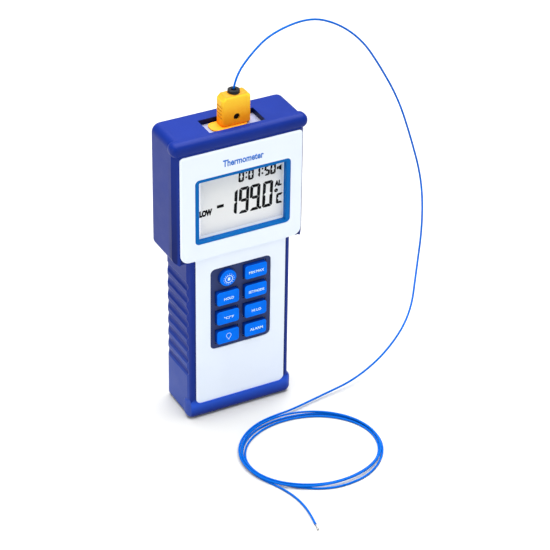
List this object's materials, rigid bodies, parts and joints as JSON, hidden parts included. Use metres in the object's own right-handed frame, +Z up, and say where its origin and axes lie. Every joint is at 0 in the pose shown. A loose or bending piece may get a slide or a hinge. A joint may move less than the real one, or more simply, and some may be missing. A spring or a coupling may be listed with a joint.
{
  "type": "hand-held thermocouple thermometer",
  "caption": "Hand-held digital thermometer in a rubber boot, with a large display, a keypad and a plug-in bead-wire probe lying in a loose coil.",
  "frame": {"origin": "centre of the body's footprint, on the surface it stands on", "axes": "+Z up the body towards the probe socket, -Y out of the display side, +X to the right as the display is read"},
  "size_m": [0.1961, 0.1886, 0.2324],
  "materials": {
    "boot_rubber": "moulded rubber, fine matt texture",
    "case_white": "moulded, fine satin texture",
    "bezel_blue": "satin gloss",
    "clear_window": "clear, polished",
    "lcd": "grey liquid crystal with dark segments",
    "light_guide": "diffusing",
    "silicone": "matt",
    "zebra_rubber": "layered",
    "panel_navy": "fine matt",
    "key_blue": "moulded silicone with white printed legends",
    "board_green": "solder mask",
    "chip_black": "moulded",
    "steel": "plated",
    "battery_jacket": "printed jacket",
    "lead_red_black": "insulated wire",
    "plug_yellow": "moulded glass-filled nylon",
    "contact_alloy": "sprung strip",
    "collar_black": "matt",
    "wire_blue": "extruded insulation",
    "bead_metal": "welded"
  },
  "bodies": {
    "case": {"rubber_boot": "boot_rubber", "front_case": "case_white", "rear_case": "case_white", "case_screws": "steel", "display_bezel": "bezel_blue", "display_window": "clear_window", "lcd_panel": "lcd", "backlight_panel": "light_guide", "lcd_holder": "case_white", "zebra_strips": "zebra_rubber", "keypad_plate": "panel_navy", "keypad_mat": "silicone", "main_board": "board_green", "board_screws": "steel", "board_components": "chip_black", "buzzer": "chip_black", "battery": "battery_jacket", "battery_snap": "chip_black", "battery_leads": "lead_red_black", "socket_insert": "plug_yellow", "socket_contacts": "contact_alloy"},
    "key_power": {"key_power": "key_blue"},
    "key_hold": {"key_hold": "key_blue"},
    "key_units": {"key_units": "key_blue"},
    "key_light": {"key_light": "key_blue"},
    "key_min_max": {"key_min_max": "key_blue"},
    "key_set_mode": {"key_set_mode": "key_blue"},
    "key_high_low": {"key_high_low": "key_blue"},
    "key_alarm": {"key_alarm": "key_blue"},
    "battery_cover": {"battery_door": "case_white", "battery_door_screw": "steel"},
    "probe": {"plug_cover": "plug_yellow", "plug_body": "plug_yellow", "plug_pin_wide": "steel", "plug_pin_narrow": "steel", "plug_screw": "steel", "cable_collar": "collar_black", "probe_lead": "wire_blue", "probe_coil": "wire_blue", "probe_tail": "wire_blue", "probe_bead": "bead_metal"}
  },
  "joints": [
    {"name": "key_power_press", "type": "slide", "parent": "case", "child": "key_power", "axis": [0, 1, 0], "range_m": [0, 0.001], "stiffness_N_per_m": 600},
    {"name": "key_hold_press", "type": "slide", "parent": "case", "child": "key_hold", "axis": [0, 1, 0], "range_m": [0, 0.001], "stiffness_N_per_m": 600},
    {"name": "key_units_press", "type": "slide", "parent": "case", "child": "key_units", "axis": [0, 1, 0], "range_m": [0, 0.001], "stiffness_N_per_m": 600},
    {"name": "key_light_press", "type": "slide", "parent": "case", "child": "key_light", "axis": [0, 1, 0], "range_m": [0, 0.001], "stiffness_N_per_m": 600},
    {"name": "key_min_max_press", "type": "slide", "parent": "case", "child": "key_min_max", "axis": [0, 1, 0], "range_m": [0, 0.001], "stiffness_N_per_m": 600},
    {"name": "key_set_mode_press", "type": "slide", "parent": "case", "child": "key_set_mode", "axis": [0, 1, 0], "range_m": [0, 0.001], "stiffness_N_per_m": 600},
    {"name": "key_high_low_press", "type": "slide", "parent": "case", "child": "key_high_low", "axis": [0, 1, 0], "range_m": [0, 0.001], "stiffness_N_per_m": 600},
    {"name": "key_alarm_press", "type": "slide", "parent": "case", "child": "key_alarm", "axis": [0, 1, 0], "range_m": [0, 0.001], "stiffness_N_per_m": 600},
    {"name": "battery_cover_lift", "type": "slide", "parent": "case", "child": "battery_cover", "axis": [0, 1, 0], "range_m": [0, 0.02]},
    {"name": "probe_plug_pull", "type": "slide", "parent": "case", "child": "probe", "axis": [0, 0, 1], "range_m": [0, 0.016]}
  ]
}
